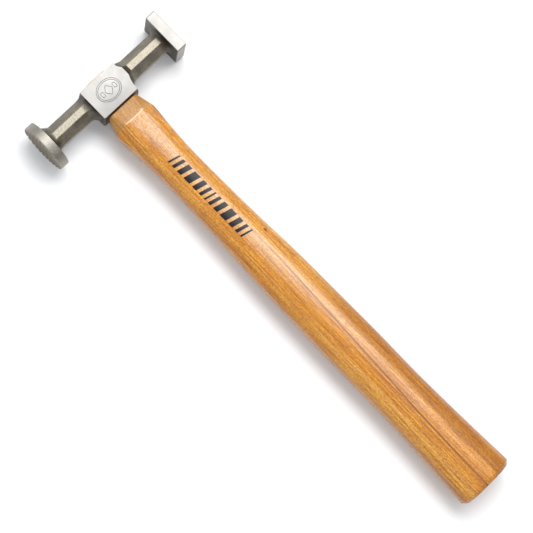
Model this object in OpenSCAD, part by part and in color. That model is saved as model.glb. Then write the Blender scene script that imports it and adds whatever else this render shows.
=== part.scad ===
// Body hammer: a forged head with one square face and one round serrated face,
// held on a wooden handle by a wooden kerf wedge and two steel cross wedges.
//
// Shapes are drawn about the point where the head's axis crosses the handle's: +X runs along the head
// to the square face, +Y up the handle to the top of the head, and +Z out of the polished cheek that
// faces up. placed() then moves each piece to the part's origin, the centre of the bounding box's
// underside.

/* [Overall] */
// Length from the rim of the round face to the butt of the handle
overall_length = 341; // [315:1:370]
// Length of the head from the serrated face to the square face
head_length = 104.6; // [98:0.2:114]
// How far the square face reaches from the handle's axis
square_reach = 52.6; // [49:0.2:56]

/* [Square face] */
// Side of the square face
square_side = 28; // [25:0.5:31]
// Thickness of the square block along the head
square_thick = 6.9; // [5:0.1:9]

/* [Round face] */
// Diameter of the round face
disc_d = 32; // [29:0.5:35]
// Thickness of the disc at its rim
disc_thick = 6.4; // [4:0.1:8]
// Height of the crown in the middle of the serrated face
crown = 0.3; // [0.1:0.1:1]
// Distance from one serration to the next
serration_pitch = 2.9; // [2:0.1:4]
// Width of each V groove at its mouth
groove_width = 2.2; // [1:0.1:2.6]
// Depth of each V groove
groove_depth = 1; // [0.4:0.1:1.2]

/* [Necks] */
// Width of the octagonal neck across its flats
neck_width = 14.4; // [12:0.2:17]
// Width of the flat on each of the four main sides
neck_flat = 4.5; // [3:0.1:6]

/* [Eye block] */
// Length of the block along the head
block_length = 26.8; // [24:0.2:30]
// Thickness of the block from cheek to cheek
block_thick = 21; // [19:0.2:23]
// Height of the block above the head's axis
block_above = 8.8; // [8:0.1:10]
// Depth of the block below the head's axis, on the handle's side
block_below = 14.2; // [12:0.1:16]
// How much each side stands out at the parting line, beyond the cheeks
draft = 0.5; // [0.2:0.1:1]
// The same on the handle's side, where it is a flat band with a slope on each side of it
band_draft = 1; // [0.2:0.1:1.5]
// Width of that band
band_width = 12; // [6:0.5:16]

/* [Eye and wedges] */
// Length of the eye along the head, at its waist
eye_length = 19; // [17:0.2:20]
// Width of the eye from cheek to cheek, at its waist
eye_width = 13; // [11:0.2:14]
// How much wider the eye's mouths are than its waist, at the top
eye_flare = 1.4; // [0.6:0.1:2]
// Glue line between the eye and the tenon
glue_line = 0.05; // [0.02:0.01:0.1]
// How far the tenon stands proud of the block
tenon_proud = 0.4; // [0.2:0.1:1]
// Thickness of the wooden wedge at its head
wood_wedge_thick = 3; // [2:0.1:4]
// Thickness of each steel wedge at its head
steel_wedge_thick = 1.8; // [1:0.1:2.5]
// Width of each steel wedge, across the kerf
steel_wedge_width = 9; // [7:0.2:10]
// Distance of each steel wedge from the middle of the eye
steel_wedge_offset = 5; // [4:0.1:6]

/* [Handle] */
// Width of the tapered wooden neck where it meets the block
shoulder_width = 21.8; // [20:0.2:24]
// Thickness of the tapered wooden neck where it meets the block
shoulder_thick = 17.6; // [16:0.2:19]
// Squareness of the handle's oval, where 2 is an ellipse
oval_power = 2.35; // [2:0.05:3]
// Chamfer round the butt
butt_chamfer = 2.5; // [1:0.1:3]

/* [Hidden] */
$fn = 96;

disc_r = disc_d / 2;
serrated_reach = head_length - square_reach;
rim_x = -(serrated_reach - crown);       // where the rim meets the crowned face
disc_back = rim_x + disc_thick;          // inner face of the disc
square_back = square_reach - square_thick;
block_end = block_length / 2;
cheek_z = block_thick / 2;
top_y = block_above + tenon_proud;       // end grain of the tenon
butt_y = disc_r - overall_length;

steel = "#8f8a7c";
bright_steel = "#c9c6bf";
hickory = "#d9973f";
pale_wood = "#d8b483";

// ---------- shared shapes ----------

// Moves a piece from the head's own zero to the part's origin.
module placed() {
    translate([-(square_reach - serrated_reach) / 2, -(disc_r + butt_y) / 2, disc_r]) children();
}

// A closed skin through rings of equal length. Seen from the last ring, each one turns anticlockwise.
module loft(rings) {
    count = len(rings[0]);
    last = len(rings) - 1;
    polyhedron(
        points = [for (ring = rings) each ring],
        faces = concat(
            [[for (i = [0 : count - 1]) i]],
            [for (k = [0 : last - 1], i = [0 : count - 1])
                [k * count + i, (k + 1) * count + i,
                 (k + 1) * count + (i + 1) % count, k * count + (i + 1) % count]],
            [[for (i = [count - 1 : -1 : 0]) last * count + i]]
        ),
        convexity = 6
    );
}

// A rectangle about the origin with its four corners cut at 45 degrees.
module cut_rectangle(w, h, cut) {
    polygon([
        [w / 2 - cut, -h / 2], [w / 2, -h / 2 + cut], [w / 2, h / 2 - cut], [w / 2 - cut, h / 2],
        [-w / 2 + cut, h / 2], [-w / 2, h / 2 - cut], [-w / 2, -h / 2 + cut], [-w / 2 + cut, -h / 2]
    ]);
}

// A box about the origin with every edge chamfered.
module chamfered_box(size, cut) {
    intersection() {
        linear_extrude(size.z, center = true) cut_rectangle(size.x, size.y, cut);
        rotate([90, 0, 0]) linear_extrude(size.y, center = true) cut_rectangle(size.x, size.z, cut);
        rotate([90, 0, 90]) linear_extrude(size.x, center = true) cut_rectangle(size.y, size.z, cut);
    }
}

// ---------- head ----------

// An octagonal section of a neck at x: top, bottom and half height, with its corners cut.
function neck_ring(x, top, bottom, high, cut) = [
    [x, top, -high + cut], [x, top, high - cut], [x, top - cut, high], [x, -bottom + cut, high],
    [x, -bottom, high - cut], [x, -bottom, -high + cut], [x, -bottom + cut, -high], [x, top - cut, -high]
];

// Rings of a flare from the plain neck at x0 to [top, bottom, high, cut] at x1. Each of the four grows
// along a concave quarter ellipse where its straightness is 0, and along a straight line where it is 1.
function flare_rings(x0, x1, end, straight, steps = 9) =
    let (half = neck_width / 2, start = [half, half, half, half - neck_flat / 2])
    [for (i = [0 : steps])
        let (
            a = 90 * i / steps,
            at = [for (j = [0 : 3])
                start[j] + (end[j] - start[j]) * (straight[j] * sin(a) + (1 - straight[j]) * (1 - cos(a)))]
        )
        neck_ring(x0 + (x1 - x0) * sin(a), at[0], at[1], at[2], at[3])];

function reversed(list) = [for (i = [len(list) - 1 : -1 : 0]) list[i]];

overlap = 1;                             // how far a neck runs on inside what it joins

// Each flare's length along the head, its [top, bottom, high, cut] at the wide end, and how straight
// each of those grows. On the square side the block's flare rises past the cheek and is ground off.
disc_flare = [6.2, [12.4, 10.6, 10.8, 6.4], [0.9, 0.1, 0.3, 0]];
square_flare = [5.4, [10.8, 10.8, 10.8, 6], [0, 0, 0, 0]];
block_flare = [5.4, [8.4, 12.8, 10.2, 3.4], [0, 0, 0, 0]];
raised_flare = [5.4, [8.4, 12.8, 12.4, 4.6], [0, 0, 1, 0]];

function neck_between(x_block, x_face, block_form, face_form) =
    let (
        toward = sign(x_face - x_block),
        from_block = flare_rings(x_block + toward * block_form[0], x_block, block_form[1], block_form[2]),
        to_face = flare_rings(x_face - toward * face_form[0], x_face, face_form[1], face_form[2]),
        first = from_block[len(from_block) - 1],
        final = to_face[len(to_face) - 1],
        shift = [toward * overlap, 0, 0]
    )
    concat([[for (p = first) p - shift]], reversed(from_block), to_face, [[for (p = final) p + shift]]);

module necks() {
    loft(neck_between(block_end, square_back, raised_flare, square_flare));
    loft(reversed(neck_between(-block_end, disc_back, block_flare, disc_flare)));
}

// The block round the eye, drafted to a parting line at z = 0.
module eye_block() {
    middle_y = (block_above - block_below) / 2;
    tall = block_above + block_below;
    translate([0, middle_y, 0]) intersection() {
        rotate([90, 0, 0]) linear_extrude(tall + 2, center = true) polygon([
            [block_end, -cheek_z], [block_end + draft, 0], [block_end, cheek_z],
            [-block_end, cheek_z], [-block_end - draft, 0], [-block_end, -cheek_z]
        ]);
        rotate([90, 0, 90]) linear_extrude(block_length + 4, center = true) polygon([
            [tall / 2 - draft, -cheek_z], [tall / 2, 0], [tall / 2 - draft, cheek_z],
            [-tall / 2 + band_draft, cheek_z], [-tall / 2, band_width / 2],
            [-tall / 2, -band_width / 2], [-tall / 2 + band_draft, -cheek_z]
        ]);
    }
}

// The round face: a turned disc with a crowned front.
module disc() {
    edge = 1.3;
    back_edge = 0.5;
    crown_steps = 6;
    crown_r = (pow(disc_r - edge, 2) + pow(crown, 2)) / (2 * crown);
    front = [for (i = [0 : crown_steps])
        let (r = (disc_r - edge) * (1 - i / crown_steps))
        [r, disc_thick + sqrt(pow(crown_r, 2) - r * r) - crown_r + crown]];
    translate([disc_back, 0, 0]) rotate([0, -90, 0]) rotate_extrude() polygon(concat(
        [[0, 0], [disc_r - back_edge, 0], [disc_r, back_edge], [disc_r, disc_thick - edge],
         [disc_r - 0.3 * edge, disc_thick - 0.3 * edge]],
        front
    ));
}

// V grooves across the serrated face in one direction.
module grooves() {
    reach = ceil(disc_r / serration_pitch);
    for (i = [-reach : reach - 1])
        translate([-serrated_reach, 0, (i + 0.5) * serration_pitch])
            rotate([90, 0, 0])
                linear_extrude(disc_d + 2, center = true)
                    polygon([
                        [groove_depth, 0], [-groove_depth, groove_width], [-groove_depth, -groove_width]
                    ]);
}

module square_block() {
    translate([square_reach - square_thick / 2, 0, 0])
        chamfered_box([square_thick, square_side, square_side], 0.5);
}

eye_waist_y = -3;
eye_foot_flare = 0.5;

// The eye's own shape, from below the block to above it: a slot with straight sides and round ends,
// narrowest at its waist. Shrunk by gap, it is the tenon's shape.
module eye_shape(from_y, to_y, gap = 0) {
    run = (eye_length - eye_width) / 2;
    waist = eye_width / 2 - gap;
    top = waist + (to_y - eye_waist_y) / (block_above - eye_waist_y) * eye_flare / 2;
    foot = waist + (eye_waist_y - from_y) / (block_below + eye_waist_y) * eye_foot_flare / 2;
    for (x = [-run, run])
        translate([x, 0, 0]) rotate([-90, 0, 0]) rotate_extrude() polygon([
            [0, from_y], [foot, from_y], [waist, eye_waist_y], [top, to_y], [0, to_y]
        ]);
    rotate([90, 0, 90]) linear_extrude(2 * run, center = true) polygon([
        [from_y, -foot], [eye_waist_y, -waist], [to_y, -top], [to_y, top], [eye_waist_y, waist],
        [from_y, foot]
    ]);
}

module head() {
    color(steel) placed() difference() {
        union() {
            intersection() {
                union() {
                    eye_block();
                    necks();
                }
                cube([head_length * 2, disc_d * 2, block_thick], center = true);
            }
            disc();
            square_block();
        }
        eye_shape(-block_below - 1, block_above + 1);
        grooves();
        rotate([90, 0, 0]) grooves();
    }
}

// ---------- handle ----------

// Distance below the head's axis, half width and half thickness of the finished handle.
handle_stations = [
    [10, 15.7, 11.5], [24, 14.75, 11], [40, 13.6, 10.5], [62, 12.8, 10.2], [90, 13.15, 10.5],
    [120, 14, 11], [150, 15.4, 11.5], [180, 15.85, 11.8], [212, 16.35, 12], [248, 16.25, 12.1],
    [280, 17, 12.5], [305, 18, 12.9], [326, 19, 13.3], [340, 19.8, 13.6]
];

// Catmull-Rom value between b and c at share t.
function smooth(a, b, c, d, t) =
    0.5 * (2 * b + (c - a) * t + (2 * a - 5 * b + 4 * c - d) * t * t + (3 * b - a - 3 * c + d) * t * t * t);

function station_value(d, column) =
    let (
        s = handle_stations,
        last = len(s) - 2,
        k = max([for (i = [1 : last - 1]) d >= s[i][0] ? i : 1]),
        t = (d - s[k][0]) / (s[k + 1][0] - s[k][0])
    )
    smooth(s[k - 1][column], s[k][column], s[k + 1][column], s[k + 2][column], t);

function oval_radius(a, half_w, half_t, power) =
    pow(pow(abs(cos(a)) / half_w, power) + pow(abs(sin(a)) / half_t, power), -1 / power);

// The machined taper under the block: it grows from the shoulder at this slope.
taper_slope = 0.3;
taper_power = 5;

function handle_radius(a, d) =
    let (
        body = oval_radius(a, station_value(d, 1), station_value(d, 2), oval_power),
        grown = (d - block_below) * taper_slope,
        taper = oval_radius(a, shoulder_width / 2 + grown, shoulder_thick / 2 + grown * 0.75, taper_power)
    )
    min(body, taper);

function handle_ring(d, inset = 0, count = 40) =
    [for (i = [0 : count - 1])
        let (a = 360 * (i + 0.5) / count, r = handle_radius(a, d) - inset)
        [r * cos(a), -d, -r * sin(a)]];

butt_d = -butt_y;
grip_start = 34;                         // rings lie closer together above here, on the taper
grip_steps = 26;

// The wooden body from the block to the butt.
module handle_body() {
    grip_end = butt_d - butt_chamfer;
    loft(concat(
        [handle_ring(butt_d, butt_chamfer)],
        [for (i = [0 : grip_steps]) handle_ring(grip_end + (grip_start - grip_end) * i / grip_steps)],
        [for (d = [31 : -2 : block_below + 2]) handle_ring(d)],
        [handle_ring(block_below)]
    ));
}

kerf_floor = -8;                         // bottom of the saw kerf
wood_wedge_tip = 0.8;                    // thickness of the wooden wedge at its tip
steel_wedge_depth = 13;
steel_wedge_tip = 0.4;

// A wedge through the tenon's top, thick at its head and thin at depth.
module wedge(width, thick, tip, depth, above = 0) {
    slope = (thick - tip) / depth / 2;
    rotate([90, 0, 90]) linear_extrude(width, center = true) polygon([
        [top_y + above, -thick / 2 - slope * above], [top_y + above, thick / 2 + slope * above],
        [top_y - depth, tip / 2], [top_y - depth, -tip / 2]
    ]);
}

module wood_wedge_shape(above = 0) {
    wedge(eye_length * 2, wood_wedge_thick, wood_wedge_tip, top_y - kerf_floor, above);
}

module steel_wedge_shape(side, above = 0) {
    translate([side * steel_wedge_offset, 0, 0])
        rotate([0, 90, 0])
            wedge(steel_wedge_width, steel_wedge_thick, steel_wedge_tip, steel_wedge_depth, above);
}

module handle() {
    color(hickory) placed() difference() {
        union() {
            handle_body();
            eye_shape(-block_below - 1, top_y, glue_line);
        }
        wood_wedge_shape(1);
        for (side = [-1, 1]) steel_wedge_shape(side, 1);
    }
}

module wood_wedge() {
    color(pale_wood) placed() difference() {
        intersection() {
            wood_wedge_shape();
            eye_shape(kerf_floor - 1, top_y, glue_line);
        }
        for (side = [-1, 1]) steel_wedge_shape(side, 1);
    }
}

module steel_wedge(side) {
    color(bright_steel) placed() steel_wedge_shape(side);
}

head();
handle();
wood_wedge();
steel_wedge(1);  // steel_wedge_square_side
steel_wedge(-1);  // steel_wedge_round_side
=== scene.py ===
import math

import bmesh
import bpy
import numpy as np
from mathutils import Matrix, Vector


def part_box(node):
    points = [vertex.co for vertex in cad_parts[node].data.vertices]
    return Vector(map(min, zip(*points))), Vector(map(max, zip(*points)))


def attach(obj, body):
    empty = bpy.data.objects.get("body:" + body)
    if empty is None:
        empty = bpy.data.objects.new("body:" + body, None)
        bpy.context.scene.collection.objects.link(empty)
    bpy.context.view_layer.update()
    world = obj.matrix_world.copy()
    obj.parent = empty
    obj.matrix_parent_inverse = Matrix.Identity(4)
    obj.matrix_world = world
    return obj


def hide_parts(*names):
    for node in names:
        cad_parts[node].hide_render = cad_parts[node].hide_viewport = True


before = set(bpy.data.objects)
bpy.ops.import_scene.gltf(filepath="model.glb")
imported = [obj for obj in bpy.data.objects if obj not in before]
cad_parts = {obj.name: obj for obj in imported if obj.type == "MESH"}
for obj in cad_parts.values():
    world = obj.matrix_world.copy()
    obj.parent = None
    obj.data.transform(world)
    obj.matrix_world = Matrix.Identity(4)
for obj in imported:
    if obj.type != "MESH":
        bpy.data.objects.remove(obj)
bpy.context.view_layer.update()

# Shapes are drawn in millimetres about EYE, the point where the head's axis crosses the handle's:
# +X runs along the head to the square face, +Y up the handle to the head, +Z out of the upper cheek.
MM = 0.001

head_low, head_high = (np.array(corner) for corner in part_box("head"))
handle_low, handle_high = (np.array(corner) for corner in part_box("handle"))
head_mid = (head_low + head_high) / 2
EYE = Vector(((handle_low[0] + handle_high[0]) / 2, head_mid[1], head_mid[2]))

# ---------- sizes, in millimetres ----------

DISC_R = (head_high[2] - head_low[2]) / 2 / MM
SERRATED_REACH = (EYE.x - head_low[0]) / MM
SQUARE_REACH = (head_high[0] - EYE.x) / MM
BUTT = (EYE.y - handle_low[1]) / MM
TENON_TOP = (handle_high[1] - EYE.y) / MM

CROWN = 0.3
DISC_THICK = 6.4
DISC_EDGE = 1.1
PITCH = 2.9
GROOVE_WIDTH = 2.2
GROOVE_DEPTH = 1.0
SQUARE_SIDE = 28.0
SQUARE_THICK = 6.9
NECK_HALF = 7.2
NECK_FLAT = 4.5
BLOCK_END = 13.4
CHEEK_Z = 10.5
BLOCK_ABOVE = 8.8
BLOCK_BELOW = 14.2
EYE_LENGTH = 19.0
EYE_WIDTH = 13.0
EYE_WAIST_Y = -3.0
EYE_TOP_FLARE = 1.4
EYE_FOOT_FLARE = 0.5
GLUE_LINE = 0.05
BUTT_CHAMFER = 2.5
RIM_X = -(SERRATED_REACH - CROWN)
DISC_BACK = RIM_X + DISC_THICK
SQUARE_BACK = SQUARE_REACH - SQUARE_THICK

# Distance below the head's axis, half width and half thickness of the finished handle.
STATIONS = np.array([
    [10, 15.7, 11.5], [24, 14.75, 11], [40, 13.6, 10.5], [62, 12.8, 10.2], [90, 13.15, 10.5],
    [120, 14, 11], [150, 15.4, 11.5], [180, 15.85, 11.8], [212, 16.35, 12], [248, 16.25, 12.1],
    [280, 17, 12.5], [305, 18, 12.9], [326, 19, 13.3], [340, 19.8, 13.6],
])
OVAL_POWER = 2.35


# ---------- mesh tools ----------

def mesh_object(name, points, faces):
    """A mesh of points in millimetres about EYE."""
    mesh = bpy.data.meshes.new(name)
    mesh.from_pydata([tuple(float(c) * MM for c in p) for p in points], [], faces)
    mesh.update()
    made = bpy.data.objects.new(name, mesh)
    made.location = EYE
    bpy.context.collection.objects.link(made)
    return made


def loft(name, rings):
    """A closed skin through rings of equal length, with a flat cap at each end."""
    count = len(rings[0])
    faces = [list(range(count))[::-1]]
    for k in range(len(rings) - 1):
        for i in range(count):
            j = (i + 1) % count
            faces.append([k * count + i, k * count + j, (k + 1) * count + j, (k + 1) * count + i])
    last = (len(rings) - 1) * count
    faces.append([last + i for i in range(count)])
    made = mesh_object(name, [p for ring in rings for p in ring], faces)
    outward(made)
    return made


def outward(piece):
    """Turns every face of a closed mesh to look outwards."""
    work = bmesh.new()
    work.from_mesh(piece.data)
    bmesh.ops.recalc_face_normals(work, faces=work.faces)
    work.to_mesh(piece.data)
    work.free()


def settle(piece):
    """Applies a piece's modifiers to its mesh."""
    bpy.context.view_layer.update()
    depsgraph = bpy.context.evaluated_depsgraph_get()
    mesh = bpy.data.meshes.new_from_object(piece.evaluated_get(depsgraph))
    piece.modifiers.clear()
    piece.data = mesh


def combine(piece, tool, operation, keep_tool=False):
    """Joins tool to piece, cuts it away, or keeps what both fill."""
    step = piece.modifiers.new("combine", "BOOLEAN")
    step.operation = operation
    step.solver = "EXACT"
    step.object = tool
    settle(piece)
    if not keep_tool:
        bpy.data.objects.remove(tool)


def shade(piece, angle):
    """Smooth shading with edges sharper than angle kept crisp."""
    piece.data.polygons.foreach_set("use_smooth", [True] * len(piece.data.polygons))
    piece.data.set_sharp_from_angle(angle=math.radians(angle))
    weigh = piece.modifiers.new("weigh", "WEIGHTED_NORMAL")
    weigh.keep_sharp = True
    weigh.weight = 80


def rounded(corners, radius, steps=4):
    """The points of a convex polygon with each corner turned into an arc."""
    corners = [np.array(c, float) for c in corners]
    points = []
    for i, corner in enumerate(corners):
        back = corners[i - 1] - corner
        on = corners[(i + 1) % len(corners)] - corner
        back_length, on_length = np.linalg.norm(back), np.linalg.norm(on)
        back, on = back / back_length, on / on_length
        half = math.acos(max(-1.0, min(1.0, float(back @ on)))) / 2
        reach = min(radius / math.tan(half), 0.49 * back_length, 0.49 * on_length)
        arc_r = reach * math.tan(half)
        centre = corner + (back + on) / np.linalg.norm(back + on) * (arc_r / math.sin(half))
        start = corner + back * reach - centre
        finish = corner + on * reach - centre
        sweep = math.pi - 2 * half
        for k in range(steps + 1):
            a = sweep * k / steps
            arc = (start * math.sin(sweep - a) + finish * math.sin(a)) / math.sin(sweep)
            points.append(centre + arc)
    return points


def at_x(x, outline):
    """An outline of (y, z) points at one place along the head."""
    return [(x, p[0], p[1]) for p in outline]


# ---------- head ----------

NECK_SIDES = 144
TURNED_INSET = 0.7                       # where a turned flare starts, inside the plain neck

# How crisp the edges are where one flat gives way to the next; more is crisper.
NECK_CRISP = 90.0
TURNED_CRISP = 60.0
HANDLE_CRISP = 120.0


def soft_least(values, crisp):
    """The least of some lengths, with the change from one to the next rounded a little."""
    least = min(values)
    return least * sum((least / v) ** crisp for v in values) ** (-1 / crisp)


def neck_ring(x, form, turned_form=None):
    """An octagon given as [top, bottom, high, cut].

    Where turned_form is bigger than it, the round shape of turned_form shows.
    """
    top, bottom, high, cut = form
    ring = []
    for i in range(NECK_SIDES):
        angle = 2 * math.pi * i / NECK_SIDES
        c, s = math.cos(angle), math.sin(angle)
        up = top if c > 0 else bottom
        c, s = max(abs(c), 1e-6), max(abs(s), 1e-6)
        r = soft_least([up / c, high / s, (up + high - cut) / (c + s)], NECK_CRISP)
        if turned_form is not None:
            turned_up = turned_form[0] if math.cos(angle) > 0 else turned_form[1]
            round_r = 1 / math.hypot(c / turned_up, s / turned_form[2])
            r = 1 / soft_least([1 / r, 1 / round_r], TURNED_CRISP)
        ring.append((x, r * math.cos(angle), r * math.sin(angle)))
    return ring


def flare(x_plain, x_wide, wide, straight, turned, steps=20):
    """Rings from the plain neck to its wide end, as [top, bottom, high, cut] there."""
    plain = np.array([NECK_HALF, NECK_HALF, NECK_HALF, NECK_HALF - NECK_FLAT / 2])
    inside = np.array([NECK_HALF - TURNED_INSET] * 3)
    rings = []
    for i in range(steps + 1):
        a = math.pi / 2 * i / steps
        grow = np.array(straight) * math.sin(a) + (1 - np.array(straight)) * (1 - math.cos(a))
        x = x_plain + (x_wide - x_plain) * math.sin(a)
        if turned:
            rings.append(neck_ring(x, plain, inside + (np.array(wide[:3]) - inside) * grow[:3]))
        else:
            rings.append(neck_ring(x, plain + (np.array(wide) - plain) * grow))
    return rings


# Each flare's length, its form at the wide end, and how straight each measure of it grows.
DISC_FLARE = (6.2, (12.0, 10.6, 10.8, 6.4), (0.75, 0.1, 0.3, 0))
SQUARE_FLARE = (5.4, (10.8, 10.8, 10.8, 6), (0, 0, 0, 0))
BLOCK_FLARE = (5.4, (8.4, 12.8, 10.2, 3.4), (0, 0, 0, 0))
RAISED_FLARE = (5.4, (8.4, 12.8, 12.4, 4.6), (0, 0, 1, 0))


def neck(name, x_block, x_face, block_form, face_form):
    """An octagonal neck from the block to a face, run on 1 mm inside each."""
    toward = math.copysign(1, x_face - x_block)
    from_block = flare(x_block + toward * block_form[0], x_block, *block_form[1:], turned=False)
    to_face = flare(x_face - toward * face_form[0], x_face, *face_form[1:], turned=True)
    root = [(x - toward, y, z) for x, y, z in from_block[-1]]
    end = [(x + toward, y, z) for x, y, z in to_face[-1]]
    return loft(name, [root] + from_block[::-1] + to_face + [end])


def eye_block():
    """The block round the eye, drafted to a parting line, with its cheeks left for grinding."""
    draft, band_draft, band = 0.5, 1.0, 6.0
    spare = 0.5
    rings = []
    levels = [-CHEEK_Z - spare, -CHEEK_Z, -band, -2, 0, 2, band, CHEEK_Z, CHEEK_Z + spare]
    for z in levels:
        share = 1 - abs(z) / CHEEK_Z
        side = BLOCK_END + draft * share
        top = BLOCK_ABOVE - draft + draft * share
        below = BLOCK_BELOW - band_draft * max(0, (abs(z) - band) / (CHEEK_Z - band))
        corners = [(side, -below), (side, top), (-side, top), (-side, -below)]
        rings.append([(p[0], p[1], z) for p in rounded(corners, 0.6)])
    return loft("block", rings)


def slab(name, low, high):
    """A plain box between two corners, used only to trim other solids."""
    points = [(x, y, z) for x in (low[0], high[0]) for y in (low[1], high[1]) for z in (low[2], high[2])]
    faces = [(0, 1, 3, 2), (4, 6, 7, 5), (0, 4, 5, 1), (2, 3, 7, 6), (0, 2, 6, 4), (1, 5, 7, 3)]
    made = mesh_object(name, points, faces)
    outward(made)
    return made


def square_block():
    """The square face's block, with its edges eased."""
    ease = 0.45
    half = SQUARE_SIDE / 2
    rings = []
    for x, inset in (
        (SQUARE_BACK, ease), (SQUARE_BACK + ease * 0.3, ease * 0.3), (SQUARE_BACK + ease, 0),
        (SQUARE_REACH - ease, 0), (SQUARE_REACH - ease * 0.3, ease * 0.3), (SQUARE_REACH, ease),
    ):
        side = half - inset
        corners = [(side, -side), (side, side), (-side, side), (-side, -side)]
        rings.append(at_x(x, rounded(corners, 0.7)))
    return loft("square", rings)


def turned(name, profile, count=160):
    """A solid turned about the head's axis, from (x, radius) points."""
    angles = [2 * math.pi * i / count for i in range(count)]
    rings = [[(x, r * math.cos(a), r * math.sin(a)) for a in angles] for x, r in profile]
    return loft(name, rings)


def disc():
    """The round face before it is serrated: eased back edge, rounded rim and crowned front."""
    back_ease = 0.4
    rim = DISC_R - DISC_EDGE
    crown_r = (rim ** 2 + CROWN ** 2) / (2 * CROWN)
    profile = [(DISC_BACK, DISC_R - back_ease), (DISC_BACK - back_ease * 0.3, DISC_R - back_ease * 0.3)]
    profile.append((DISC_BACK - back_ease, DISC_R))
    edge_steps = 6
    for k in range(edge_steps + 1):
        a = math.pi / 2 * k / edge_steps
        profile.append((RIM_X + DISC_EDGE * (1 - math.sin(a)), rim + DISC_EDGE * math.cos(a)))
    crown_steps = 8
    for k in range(1, crown_steps):
        r = rim * (1 - k / crown_steps)
        profile.append((RIM_X - (math.sqrt(crown_r ** 2 - r ** 2) - crown_r + CROWN), r))
    return turned("disc", profile)


def grooves(name, turn):
    """V-shaped cutters across the serrated face, one for each groove in one direction."""
    reach = math.ceil(DISC_R / PITCH)
    clear = 0.3
    half = GROOVE_WIDTH / 2 * (1 + clear / GROOVE_DEPTH)
    points, faces = [], []
    for i in range(-reach, reach):
        middle = (i + 0.5) * PITCH
        section = [
            (-SERRATED_REACH + GROOVE_DEPTH, middle),
            (-SERRATED_REACH - clear, middle + half), (-SERRATED_REACH - clear, middle - half),
        ]
        base = len(points)
        for end in (-DISC_R - 1, DISC_R + 1):
            for x, across in section:
                points.append((x, end, across) if turn else (x, across, end))
        faces += [[base, base + 2, base + 1], [base + 3, base + 4, base + 5]]
        for k in range(3):
            j = (k + 1) % 3
            faces.append([base + k, base + j, base + 3 + j, base + 3 + k])
    made = mesh_object(name, points, faces)
    outward(made)
    return made


def slot_outline(long, wide, steps=24):
    """A slot with straight sides and round ends, as (x, z) points."""
    r, run = wide / 2, (long - wide) / 2
    points = []
    for side, start in ((1, -90), (-1, 90)):
        for k in range(steps + 1):
            a = math.radians(start + 180 * k / steps)
            points.append((side * run + r * math.cos(a), r * math.sin(a)))
    return points


def slot_solid(name, foot_y, top_y, gap=0.0):
    """The eye's shape between two heights; shrunk by gap, it is the tenon's."""
    rings = []
    for y in (foot_y, EYE_WAIST_Y, top_y):
        if y >= EYE_WAIST_Y:
            grow = (y - EYE_WAIST_Y) / (BLOCK_ABOVE - EYE_WAIST_Y) * EYE_TOP_FLARE
        else:
            grow = (EYE_WAIST_Y - y) / (BLOCK_BELOW + EYE_WAIST_Y) * EYE_FOOT_FLARE
        outline = slot_outline(EYE_LENGTH + grow - 2 * gap, EYE_WIDTH + grow - 2 * gap)
        rings.append([(x, y, z) for x, z in outline])
    return loft(name, rings)


ENGRAVING_WIDTH = 0.32
ENGRAVING_DEPTH = 0.14


def engraving_cutter(name, outline):
    """A closed line of V section, sunk into the upper cheek along an outline of (x, y) points."""
    outline = [np.array(p, float) for p in outline]
    rings = []
    for i, point in enumerate(outline):
        along = outline[(i + 1) % len(outline)] - outline[i - 1]
        along = along / np.linalg.norm(along)
        across = np.array([-along[1], along[0]]) * ENGRAVING_WIDTH
        rings.append([
            (*(point + across), CHEEK_Z + ENGRAVING_DEPTH), (*point, CHEEK_Z - ENGRAVING_DEPTH),
            (*(point - across), CHEEK_Z + ENGRAVING_DEPTH),
        ])
    count = len(rings)
    faces = []
    for i in range(count):
        j = (i + 1) % count
        for k in range(3):
            m = (k + 1) % 3
            faces.append([i * 3 + k, i * 3 + m, j * 3 + m, j * 3 + k])
    made = mesh_object(name, [p for ring in rings for p in ring], faces)
    outward(made)
    return made


def ellipse(cx, cy, rx, ry):
    steps = 72
    angles = [2 * math.pi * k / steps for k in range(steps)]
    return [(cx + rx * math.cos(a), cy + ry * math.sin(a)) for a in angles]


EMBLEM = (0.3, -2.2)                     # middle of the engraving on the cheek


def emblem_lines():
    """A generic engraving: an oval, a second oval in it, a diamond, and a bar on each side."""
    cx, cy = EMBLEM
    yield ellipse(cx, cy, 8.2, 6.6)
    yield ellipse(cx, cy, 7.2, 5.6)
    yield rounded([(cx + 2.8, cy), (cx, cy + 3.6), (cx - 2.8, cy), (cx, cy - 3.6)], 0.7, 8)
    for side in (-1, 1):
        near, far = side * 3.7, side * 5.6
        left, right = cx + min(near, far), cx + max(near, far)
        yield rounded([(right, cy - 1.6), (right, cy + 1.6), (left, cy + 1.6), (left, cy - 1.6)], 0.7, 8)


def make_head():
    piece = eye_block()
    piece.name = "head_forging"
    combine(piece, neck("neck_square", BLOCK_END, SQUARE_BACK, RAISED_FLARE, SQUARE_FLARE), "UNION")
    combine(piece, neck("neck_round", -BLOCK_END, DISC_BACK, BLOCK_FLARE, DISC_FLARE), "UNION")
    past_x, past_y = 60, 20
    between_cheeks = slab("cheeks", (-past_x, -past_y, -CHEEK_Z), (past_x, past_y, CHEEK_Z))
    combine(piece, between_cheeks, "INTERSECT")
    combine(piece, square_block(), "UNION")
    face = disc()
    combine(face, grooves("grooves_y", False), "DIFFERENCE")
    combine(face, grooves("grooves_z", True), "DIFFERENCE")
    combine(piece, face, "UNION")
    combine(piece, slot_solid("eye", -BLOCK_BELOW - 1, BLOCK_ABOVE + 1), "DIFFERENCE")
    for k, line in enumerate(emblem_lines()):
        combine(piece, engraving_cutter(f"engraving_{k}", line), "DIFFERENCE")
    shade(piece, 32)
    return piece


# ---------- handle ----------

HANDLE_SIDES = 144
SQUARER_OVER = 42.0                      # how far down the section is squarer than the plain oval
SQUARER_POWER = 1.25

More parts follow.
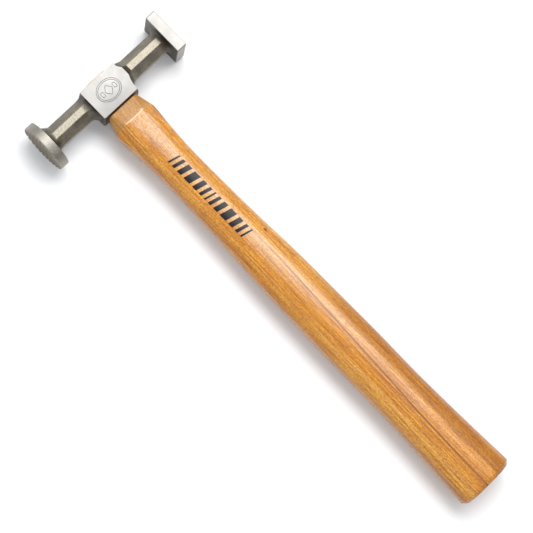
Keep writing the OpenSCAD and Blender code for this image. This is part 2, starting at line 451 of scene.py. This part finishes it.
# The planes of the taper under the head: how far each is from the axis at the head, and how much
# further it gets for each millimetre down. Two face the head's ends, two the cheeks, four the corners.
TAPER_ENDS = (10.9, 0.3)
TAPER_CHEEKS = (8.8, 0.21)
TAPER_CORNERS = (12.45, 0.035)
TAPER_OVER = 40.0


def smooth_station(d):
    """Half width and half thickness of the finished handle at depth d, by Catmull-Rom."""
    k = max(i for i in range(1, len(STATIONS) - 2) if d >= STATIONS[i][0] or i == 1)
    t = (d - STATIONS[k][0]) / (STATIONS[k + 1][0] - STATIONS[k][0])
    a, b, c, e = (STATIONS[k + j][1:] for j in (-1, 0, 1, 2))
    bend = (2 * a - 5 * b + 4 * c - e) * t * t + (3 * b - a - 3 * c + e) * t ** 3
    return 0.5 * (2 * b + (c - a) * t + bend)


def oval_power(d):
    """The section is squarer at the shoulder, and a plain oval from the neck on."""
    share = max(0.0, 1 - (d - BLOCK_BELOW) / SQUARER_OVER)
    return OVAL_POWER + SQUARER_POWER * share * share * (3 - 2 * share)


def handle_radius(angle, d):
    """Distance from the handle's axis to its surface, with the tapered flats under the head."""
    half_w, half_t = smooth_station(d)
    power = oval_power(d)
    c, s = abs(math.cos(angle)), abs(math.sin(angle))
    grown = d - BLOCK_BELOW
    limits = [((c / half_w) ** power + (s / half_t) ** power) ** (-1 / power)]
    if grown < TAPER_OVER:
        for (start, growth), facing in (
            (TAPER_ENDS, c), (TAPER_CHEEKS, s), (TAPER_CORNERS, (c + s) / math.sqrt(2)),
        ):
            limits.append((start + growth * grown) / max(facing, 1e-6))
    return soft_least(limits, HANDLE_CRISP)


def handle_ring(d, inset=0.0):
    ring = []
    for i in range(HANDLE_SIDES):
        angle = 2 * math.pi * i / HANDLE_SIDES
        r = handle_radius(angle, d) - inset
        ring.append((r * math.cos(angle), -d, r * math.sin(angle)))
    return ring


def make_handle():
    end = BUTT - BUTT_CHAMFER
    ease = 0.35
    rings = [handle_ring(BLOCK_BELOW, ease), handle_ring(BLOCK_BELOW + ease)]
    # Rings lie closer together on the taper than down the grip.
    fine_step, fine_rows = 0.5, 50
    rings += [handle_ring(BLOCK_BELOW + fine_step * k) for k in range(1, fine_rows)]
    start = BLOCK_BELOW + fine_step * fine_rows
    rows = 130
    rings += [handle_ring(start + (end - start) * k / rows) for k in range(rows + 1)]
    # The butt's chamfer, with its two corners eased.
    for d, inset in (
        (end + 0.3, 0.15), (BUTT - 0.3, BUTT_CHAMFER - 0.45),
        (BUTT - 0.08, BUTT_CHAMFER - 0.15), (BUTT, BUTT_CHAMFER + 0.2),
    ):
        rings.append(handle_ring(d, inset))
    piece = loft("hickory_handle", rings)
    combine(piece, slot_solid("tenon", -BLOCK_BELOW - 1, TENON_TOP, GLUE_LINE), "UNION")
    for name in ("wood_wedge", "steel_wedge_square_side", "steel_wedge_round_side"):
        combine(piece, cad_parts[name], "DIFFERENCE", keep_tool=True)
    shade(piece, 32)
    return piece


# ---------- printed mark ----------

PRINT_START = 57.0                       # depth of its first bar below the head's axis
PRINT_LOW, PRINT_HIGH = -4.3, 3.5        # across the handle
PRINT_SLANT = -0.26
PRINT_GAP = 2.2
PRINT_BARS = (1.2, 2.2, 3.4, 5.0, 3.4, 2.2) * 2 + (1.2,)
INK = 0.05                               # how far the ink stands out of the wood, and goes into it


def surface_z(x, d):
    """Height of the handle's upper surface at (x, -d)."""
    half_w, half_t = smooth_station(d)
    power = oval_power(d)
    return half_t * (1 - (abs(x) / half_w) ** power) ** (1 / power)


def ink_patch(points, faces, start, length):
    """Adds one slanted block of ink, a thin closed skin that follows the handle."""
    rows, columns = 8, 10
    base, width = len(points), columns + 1
    for layer in (INK, -INK):
        for r in range(rows + 1):
            for c in range(columns + 1):
                x = PRINT_LOW + (PRINT_HIGH - PRINT_LOW) * c / columns
                depth = start + length * r / rows - PRINT_SLANT * (x - PRINT_LOW)
                points.append((x, -depth, surface_z(x, depth) + layer))
    layer_size = (rows + 1) * width
    for r in range(rows):
        for c in range(columns):
            i = base + r * width + c
            faces.append([i, i + 1, i + width + 1, i + width])
            k = i + layer_size
            faces.append([k, k + width, k + width + 1, k + 1])
    rim = [base + c for c in range(width)]
    rim += [base + r * width + columns for r in range(1, rows + 1)]
    rim += [base + rows * width + c for c in range(columns - 1, -1, -1)]
    rim += [base + r * width for r in range(rows - 1, 0, -1)]
    for a, b in zip(rim, rim[1:] + rim[:1]):
        faces.append([a, b, b + layer_size, a + layer_size])


def make_print():
    """A generic printed stripe: slanted bars that swell and shrink, twice over."""
    points, faces = [], []
    d = PRINT_START
    for bar in PRINT_BARS:
        ink_patch(points, faces, d, bar)
        d += bar + PRINT_GAP
    piece = mesh_object("printed_stripe", points, faces)
    outward(piece)
    shade(piece, 40)
    return piece


# ---------- materials ----------

def new_material(name):
    made = bpy.data.materials.new(name)
    made.use_nodes = True
    tree = made.node_tree
    tree.nodes.clear()
    shader = tree.nodes.new("ShaderNodeBsdfPrincipled")
    output = tree.nodes.new("ShaderNodeOutputMaterial")
    tree.links.new(shader.outputs["BSDF"], output.inputs["Surface"])
    return made, tree, shader


def put(tree, socket, value):
    """Links a socket to another, or sets its value."""
    if isinstance(value, bpy.types.NodeSocket):
        tree.links.new(value, socket)
    else:
        socket.default_value = value


def add(tree, kind, *values, **settings):
    """A node whose inputs take values in order; None leaves an input as it is."""
    made = tree.nodes.new(kind)
    for name, value in settings.items():
        setattr(made, name, value)
    for socket, value in zip(made.inputs, values):
        if value is not None:
            put(tree, socket, value)
    return made


def maths(tree, operation, *values):
    return add(tree, "ShaderNodeMath", *values, operation=operation).outputs[0]


def times(tree, *values):
    """The product of several values."""
    product = values[0]
    for value in values[1:]:
        product = maths(tree, "MULTIPLY", product, value)
    return product


def vector_maths(tree, operation, *values):
    return add(tree, "ShaderNodeVectorMath", *values, operation=operation).outputs["Vector"]


def split(tree, vector):
    """The x, y and z of a vector."""
    apart = tree.nodes.new("ShaderNodeSeparateXYZ")
    put(tree, apart.inputs[0], vector)
    return apart.outputs


def distance_from(tree, value, middle):
    return maths(tree, "ABSOLUTE", maths(tree, "SUBTRACT", value, middle))


def blend_colours(tree, share, first, second, mode="MIX"):
    mix = tree.nodes.new("ShaderNodeMix")
    mix.data_type = "RGBA"
    mix.blend_type = mode
    put(tree, mix.inputs[0], share)
    put(tree, mix.inputs[6], first)
    put(tree, mix.inputs[7], second)
    return mix.outputs[2]


def darken(tree, colour, red, green_blue=None):
    """A colour with its channels multiplied; one value does for all three."""
    if green_blue is None:
        green_blue = red
    tint = add(tree, "ShaderNodeCombineColor", red, green_blue, green_blue).outputs[0]
    return blend_colours(tree, 1.0, colour, tint, "MULTIPLY")


def ramp(tree, value, low, high, to_low=0.0, to_high=1.0):
    """A smooth change from to_low to to_high as value goes from low to high."""
    made = add(tree, "ShaderNodeMapRange", value, low, high, to_low, to_high)
    made.interpolation_type = "SMOOTHSTEP"
    return made.outputs[0]


def place_mm(tree):
    """Object coordinates in millimetres."""
    coordinates = tree.nodes.new("ShaderNodeTexCoord").outputs["Object"]
    return vector_maths(tree, "MULTIPLY", coordinates, (1 / MM, 1 / MM, 1 / MM))


def noise(tree, place, lengths, detail, roughness, shift=0.0):
    """Noise whose features are about lengths millimetres long in x, y and z."""
    scaled = vector_maths(tree, "MULTIPLY", place, tuple(1 / length for length in lengths))
    if shift:
        scaled = vector_maths(tree, "ADD", scaled, (shift, shift, shift))
    made = tree.nodes.new("ShaderNodeTexNoise")
    put(tree, made.inputs["Vector"], scaled)
    made.inputs["Scale"].default_value = 1.0
    made.inputs["Detail"].default_value = detail
    made.inputs["Roughness"].default_value = roughness
    return made.outputs["Fac"]


def bump(tree, height, strength, distance_mm, normal=None):
    made = tree.nodes.new("ShaderNodeBump")
    made.inputs["Strength"].default_value = strength
    made.inputs["Distance"].default_value = distance_mm * MM
    put(tree, made.inputs["Height"], height)
    if normal is not None:
        put(tree, made.inputs["Normal"], normal)
    return made.outputs["Normal"]


def forged_steel(name, tone, roughness, mottle=1.0, junction_shade=0.0):
    """Forged steel: warm grey, sandy and pitted, with painted shade darkening it where the necks meet
    the rest.
    """
    made, tree, shader = new_material(name)
    place = place_mm(tree)
    cloud = noise(tree, place, (6, 6, 6), 4.0, 0.6)
    grit = noise(tree, place, (0.5, 0.5, 0.5), 2.0, 0.7, shift=7.0)
    pits = noise(tree, place, (1.0, 1.0, 1.0), 3.0, 0.6, shift=3.0)
    dark = tuple(c * (1 - 0.16 * mottle) for c in tone) + (1,)
    light = tuple(c * (1 + 0.12 * mottle) for c in tone) + (1,)
    colour = blend_colours(tree, ramp(tree, cloud, 0.36, 0.64), dark, light)
    speck = times(tree, ramp(tree, grit, 0.3, 0.7, 0.8, 1.2), ramp(tree, pits, 0.25, 0.5, 0.75, 1.05))
    # Painted shade: darker close to where the necks meet the eye block and the two faces, with a ragged
    # edge.
    if junction_shade:
        x = split(tree, place)[0]
        gaps = [distance_from(tree, x, end) for end in (-BLOCK_END, BLOCK_END, DISC_BACK, SQUARE_BACK)]
        gap = gaps[0]
        for other in gaps[1:]:
            gap = maths(tree, "MINIMUM", gap, other)
        ragged = times(tree, maths(tree, "SUBTRACT", cloud, 0.5), 3.0)
        gap = maths(tree, "ADD", gap, ragged)
        speck = times(tree, speck, ramp(tree, gap, 0.5, 6.0, 1 - junction_shade, 1.0))
    put(tree, shader.inputs["Base Color"], darken(tree, colour, speck))
    shader.inputs["Metallic"].default_value = 1.0
    rough = ramp(tree, cloud, 0.3, 0.7, roughness - 0.05 * mottle, roughness + 0.06 * mottle)
    put(tree, shader.inputs["Roughness"], rough)
    rise = maths(tree, "ADD", times(tree, grit, 0.5), pits)
    put(tree, shader.inputs["Normal"], bump(tree, rise, 0.5, 0.15))
    return made


def ground_steel(name, tone, roughness, lengths, crown=None):
    """Ground steel with scratches whose size is lengths.

    With a crown, its bulge in x and y, the surface is bumped to that bulge, and its colour is also
    painted brighter towards the head's top and darker towards the handle, a painted highlight.
    """
    made, tree, shader = new_material(name)
    place = place_mm(tree)
    scratch = noise(tree, place, lengths, 3.0, 0.65)
    cloud = noise(tree, place, (9, 9, 9), 3.0, 0.5, shift=5.0)
    dull = tuple(c * 0.93 for c in tone) + (1,)
    bright = tuple(c * 1.04 for c in tone) + (1,)
    colour = blend_colours(tree, ramp(tree, scratch, 0.3, 0.7), dull, bright)
    bulge = None
    if crown:
        y = split(tree, place)[1]
        # Painted highlight: the colour brightens from the handle's side to the head's top.
        colour = darken(tree, colour, ramp(tree, y, -BLOCK_BELOW, BLOCK_ABOVE, 0.92, 1.13))
        curved = vector_maths(tree, "MULTIPLY", place, (*crown, 0))
        drop = add(tree, "ShaderNodeVectorMath", curved, place, operation="DOT_PRODUCT").outputs["Value"]
        bulge = bump(tree, times(tree, drop, -1.0), 1.0, 1.0)
    put(tree, shader.inputs["Base Color"], colour)
    shader.inputs["Metallic"].default_value = 1.0
    both = maths(tree, "ADD", times(tree, scratch, 0.6), times(tree, cloud, 0.4))
    put(tree, shader.inputs["Roughness"], ramp(tree, both, 0.3, 0.7, roughness - 0.05, roughness + 0.07))
    put(tree, shader.inputs["Normal"], bump(tree, scratch, 0.15, 0.06, bulge))
    return made


# The woods' colours, linear.
PALE = (0.6, 0.28, 0.045, 1)
GOLDEN = (0.54, 0.208, 0.01, 1)
BROWN = (0.33, 0.1, 0.004, 1)
LIGHT_STRAND = (0.72, 0.36, 0.07, 1)
# A painted highlight colour, for the middle of the handle's upper half.
PAINTED_HIGHLIGHT = (0.62, 0.42, 0.22, 1)
HEARTWOOD = (0.36, 0.125, 0.008, 1)
PORE = (0.22, 0.075, 0.012, 1)
# A painted shade colour, for the taper under the head.
UNDER_HEAD_SHADE = (0.34, 0.2, 0.085, 1)
# A painted highlight colour, for the crease at the top of the taper.
EDGE_HIGHLIGHT = (0.95, 0.66, 0.36, 1)
DARK_LINE = (0.18, 0.05, 0.006, 1)
KNOT = (0.12, 0.035, 0.008, 1)

KNOT_PLACE = (9.5, -126, 0)
KNOT_STRETCH = (1.0, 0.62, 0.0)
# Depth below the head's axis of the painted highlight along the taper's top crease, and how it bends
# across the handle.
EDGE_HIGHLIGHT_DEPTH = 24.6
EDGE_HIGHLIGHT_BEND = 0.01


def hickory():
    """Lacquered hickory: bands and fibres along the handle, open pores, one dark line, a pin knot."""
    made, tree, shader = new_material("lacquered_hickory")
    place = place_mm(tree)
    x, y, z = split(tree, place)

    # The grain runs down the handle, sways a little, fans out to the butt and leans in depth.
    wander = noise(tree, place, (60, 260, 60), 2.0, 0.5)
    sway = times(tree, maths(tree, "SUBTRACT", wander, 0.5), 9.0)
    fan = times(tree, x, y, 0.00045)
    straight = maths(tree, "ADD", maths(tree, "ADD", x, times(tree, z, 0.35)), fan)
    grain_x = maths(tree, "ADD", straight, sway)
    grain = add(tree, "ShaderNodeCombineXYZ", grain_x, y, z).outputs[0]
    bands = noise(tree, grain, (3.4, 300, 14), 4.0, 0.62)
    fine = noise(tree, grain, (0.5, 30, 0.9), 4.0, 0.75, shift=4.0)
    broad = noise(tree, grain, (10, 260, 26), 1.0, 0.5, shift=9.0)
    pores = noise(tree, grain, (0.32, 3.2, 0.5), 1.0, 0.5, shift=2.0)
    strands = noise(tree, grain, (1.0, 70, 2.4), 3.0, 0.7, shift=12.0)
    sand = noise(tree, place, (0.6, 1.3, 0.6), 2.0, 0.75, shift=6.0)

    # Broad patches, then bands that deepen to the butt, then strands both ways.
    colour = blend_colours(tree, ramp(tree, broad, 0.38, 0.62), GOLDEN, PALE)
    band = times(tree, ramp(tree, bands, 0.5, 0.68), ramp(tree, y, -60, -230, 0.35, 0.75))
    colour = blend_colours(tree, band, colour, BROWN)
    colour = blend_colours(tree, ramp(tree, strands, 0.52, 0.7, 0.0, 0.82), colour, BROWN)
    colour = blend_colours(tree, ramp(tree, strands, 0.48, 0.32, 0.0, 0.5), colour, LIGHT_STRAND)

    # A painted highlight, a pale streak down the middle of the upper half, and heartwood along one side
    # near the butt.
    streak = times(
        tree, ramp(tree, x, -5.0, -2.0), ramp(tree, x, 5.0, 1.0), ramp(tree, y, -190, -130, 0.0, 0.3))
    colour = blend_colours(tree, streak, colour, PAINTED_HIGHLIGHT)
    heart = times(
        tree, ramp(tree, straight, 8.5, 11.0), ramp(tree, y, -140, -210, 0.0, 0.85),
        ramp(tree, bands, 0.3, 0.5, 0.4, 1.0))
    colour = blend_colours(tree, heart, colour, HEARTWOOD)

    # Fibres and fine sanding marks, which darken red less than the rest; then open pores.
    fibre = times(tree, ramp(tree, fine, 0.3, 0.7, 0.5, 1.38), ramp(tree, sand, 0.3, 0.7, 0.66, 1.3))
    colour = darken(tree, colour, maths(tree, "POWER", fibre, 0.65), fibre)
    pore = ramp(tree, pores, 0.57, 0.68, 0.0, 0.6)
    colour = blend_colours(tree, pore, colour, PORE)

    # Painted shade darkens the machined taper just under the head, and a painted highlight makes its
    # edge on the upper flat pale.
    taper = times(tree, ramp(tree, y, -24.8, -23.8, 0.0, 0.5), ramp(tree, y, -12, -14))
    colour = blend_colours(tree, taper, colour, UNDER_HEAD_SHADE)
    # Painted highlight: a thin pale line along that crease, on the upper flat only.
    bend = maths(tree, "SUBTRACT", EDGE_HIGHLIGHT_DEPTH, times(tree, x, x, EDGE_HIGHLIGHT_BEND))
    off_edge = maths(tree, "ABSOLUTE", maths(tree, "ADD", y, bend))
    edge = times(tree, ramp(tree, off_edge, 0.1, 0.6, 0.35, 0.0), ramp(tree, z, 10.2, 10.8))
    colour = blend_colours(tree, edge, colour, EDGE_HIGHLIGHT)

    # The dark line starts past the printed stripe and drifts over to the butt, on top only.
    line_x = maths(tree, "ADD", ramp(tree, y, -110, -325, 2.2, -2.0), sway)
    line = times(
        tree, ramp(tree, distance_from(tree, x, line_x), 0.15, 0.65, 1.0, 0.0),
        ramp(tree, y, -118, -160), ramp(tree, z, 0, 4), 0.92)
    colour = blend_colours(tree, line, colour, DARK_LINE)

    off_knot = vector_maths(tree, "SUBTRACT", place, KNOT_PLACE)
    off_knot = vector_maths(tree, "MULTIPLY", off_knot, KNOT_STRETCH)
    knot_gap = add(tree, "ShaderNodeVectorMath", off_knot, operation="LENGTH").outputs["Value"]
    knot = times(tree, ramp(tree, knot_gap, 0.4, 1.3, 0.85, 0.0), ramp(tree, z, 0, 2))
    colour = blend_colours(tree, knot, colour, KNOT)
    put(tree, shader.inputs["Base Color"], colour)

    # Almost all the shine is the lacquer's.
    shader.inputs["Roughness"].default_value = 0.5
    shader.inputs["Specular IOR Level"].default_value = 0.05
    shader.inputs["Coat Weight"].default_value = 0.85
    shader.inputs["Coat Roughness"].default_value = 0.2
    shader.inputs["Coat IOR"].default_value = 1.55
    relief = maths(tree, "SUBTRACT", fine, times(tree, pore, 0.8))
    normal = bump(tree, relief, 0.4, 0.1)
    put(tree, shader.inputs["Normal"], normal)
    put(tree, shader.inputs["Coat Normal"], normal)
    return made


def bare_wood(name, pale, brown):
    """Sawn wood of the wedge, grain down the wedge."""
    made, tree, shader = new_material(name)
    place = place_mm(tree)
    bands = noise(tree, place, (0.9, 30, 0.7), 3.0, 0.6)
    pores = noise(tree, place, (0.25, 2.5, 0.25), 1.0, 0.5, shift=2.0)
    colour = blend_colours(tree, ramp(tree, bands, 0.35, 0.65), brown, pale)
    colour = blend_colours(tree, ramp(tree, pores, 0.58, 0.7, 0.0, 0.5), colour, (0.2, 0.09, 0.03, 1))
    put(tree, shader.inputs["Base Color"], colour)
    shader.inputs["Roughness"].default_value = 0.7
    put(tree, shader.inputs["Normal"], bump(tree, bands, 0.3, 0.1))
    return made


def print_ink():
    made, tree, shader = new_material("print_ink")
    place = place_mm(tree)
    patchy = noise(tree, place, (0.8, 1.6, 0.8), 3.0, 0.6)
    colour = blend_colours(
        tree, ramp(tree, patchy, 0.3, 0.75), (0.003, 0.003, 0.004, 1), (0.012, 0.011, 0.012, 1))
    put(tree, shader.inputs["Base Color"], colour)
    shader.inputs["Roughness"].default_value = 0.3
    shader.inputs["Specular IOR Level"].default_value = 0.2
    return made


def paint_head(piece):
    """Gives each stretch of the head its own finish: forged, ground, turned or serrated."""
    finishes = [
        forged_steel("forged_steel", (0.246, 0.223, 0.179), 0.46, junction_shade=0.6),
        ground_steel(
            "ground_cheek", (0.256, 0.249, 0.239), 0.46, (0.25, 5, 0.25), crown=(0.0008, 0.003)),
        ground_steel("polished_square", (0.293, 0.284, 0.27), 0.46, (4, 0.25, 0.25)),
        forged_steel("turned_rim", (0.325, 0.307, 0.268), 0.49, mottle=0.3),
        forged_steel("serrated_face", (0.218, 0.192, 0.147), 0.42),
    ]
    for finish in finishes:
        piece.data.materials.append(finish)
    forged, cheek, square, rim, serrated = range(len(finishes))
    near = 0.02
    cheek_reach = SQUARE_BACK - 10
    emblem_reach = 9
    groove_floor = RIM_X + 1.4
    grooved_r = DISC_R - 0.9
    for face in piece.data.polygons:
        x, y, z = (c / MM for c in face.center)
        index = forged
        flat = abs(face.normal.z) > 0.98 and abs(z) > CHEEK_Z - near
        by_emblem = math.hypot(x - EMBLEM[0], y - EMBLEM[1]) < emblem_reach
        engraved = z > CHEEK_Z - ENGRAVING_DEPTH - near and by_emblem
        if abs(x) < cheek_reach and (flat or engraved):
            index = cheek
        elif x > SQUARE_BACK + near:
            index = square
        elif x < groove_floor and math.hypot(y, z) < grooved_r:
            index = serrated
        elif x < DISC_BACK - near:
            index = rim
        face.material_index = index


# ---------- the pieces ----------

head = make_head()
paint_head(head)
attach(head, "root")
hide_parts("head")

handle = make_handle()
handle.data.materials.clear()            # cutting with the wedges can bring theirs along
handle.data.materials.append(hickory())
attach(handle, "root")
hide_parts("handle")

stripe = make_print()
stripe.data.materials.append(print_ink())
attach(stripe, "root")

# The wedges stay the CAD's own meshes.
wedge_wood = bare_wood("wedge_wood", (0.62, 0.43, 0.22, 1), (0.42, 0.25, 0.1, 1))
wedge_steel = forged_steel("wedge_steel", (0.2, 0.195, 0.185), 0.42)
for name, finish in (
    ("wood_wedge", wedge_wood), ("steel_wedge_square_side", wedge_steel),
    ("steel_wedge_round_side", wedge_steel),
):
    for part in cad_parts[name].material_slots:
        part.material = finish

# ---------- floor, light and camera ----------

FLOOR_REACH = 3.0

floor_mesh = bpy.data.meshes.new("floor")
floor_mesh.from_pydata(
    [(x * FLOOR_REACH, y * FLOOR_REACH, 0) for x, y in ((-1, -1), (1, -1), (1, 1), (-1, 1))],
    [], [(0, 1, 2, 3)])
floor = bpy.data.objects.new("floor", floor_mesh)
bpy.context.collection.objects.link(floor)
paper, _, paper_shader = new_material("paper")
paper_shader.inputs["Base Color"].default_value = (0.82, 0.82, 0.83, 1)
paper_shader.inputs["Roughness"].default_value = 0.9
paper_shader.inputs["Specular IOR Level"].default_value = 0.1
paper_shader.inputs["Emission Color"].default_value = (0.7, 0.85, 1, 1)
paper_shader.inputs["Emission Strength"].default_value = 0.05
floor.data.materials.append(paper)


def softbox(name, place, size, watts):
    """A rectangular light at a place in metres from EYE, aimed at EYE."""
    data = bpy.data.lights.new(name, "AREA")
    data.shape = "RECTANGLE"
    data.size, data.size_y = size
    data.energy = watts
    lamp = bpy.data.objects.new(name, data)
    lamp.location = EYE + Vector(place)
    lamp.rotation_euler = (EYE - lamp.location).to_track_quat("-Z", "Y").to_euler()
    bpy.context.collection.objects.link(lamp)


softbox("key", (0.55, 0.2, 1.52), (1.15, 0.7), 22)


def studio_world():
    """Soft light that is brightest overhead and dimmer at the horizon, more so towards -Y."""
    world = bpy.data.worlds.new("studio")
    world.use_nodes = True
    tree = world.node_tree
    _, across, up = split(tree, tree.nodes.new("ShaderNodeTexCoord").outputs["Generated"])
    low = ramp(tree, across, -1.0, 1.0, 0.16, 0.5)
    level = maths(tree, "ADD", low, times(tree, ramp(tree, up, 0.0, 0.8), 0.6))
    put(tree, tree.nodes["Background"].inputs["Strength"], level)
    tree.nodes["Background"].inputs["Color"].default_value = (0.99, 0.995, 1, 1)
    bpy.context.scene.world = world


studio_world()
bpy.context.scene.view_settings.view_transform = "Standard"

CAMERA_PLACE = Vector((-0.1874, -0.1757, 1.0956))
CAMERA_AIM = Vector((0.1651, 0.0304, -0.9858))
PICTURE_UP = math.radians(45.6)          # turn from +X to the picture's up, seen from above

camera = bpy.data.objects.new("camera", bpy.data.cameras.new("camera"))
camera.data.sensor_width = 36
camera.data.lens = 126.3
look = CAMERA_AIM.normalized()
right = look.cross(Vector((math.cos(PICTURE_UP), math.sin(PICTURE_UP), 0))).normalized()
camera.matrix_world = Matrix((right, right.cross(look), -look)).transposed().to_4x4()
camera.location = EYE + CAMERA_PLACE
bpy.context.collection.objects.link(camera)
bpy.context.scene.camera = camera
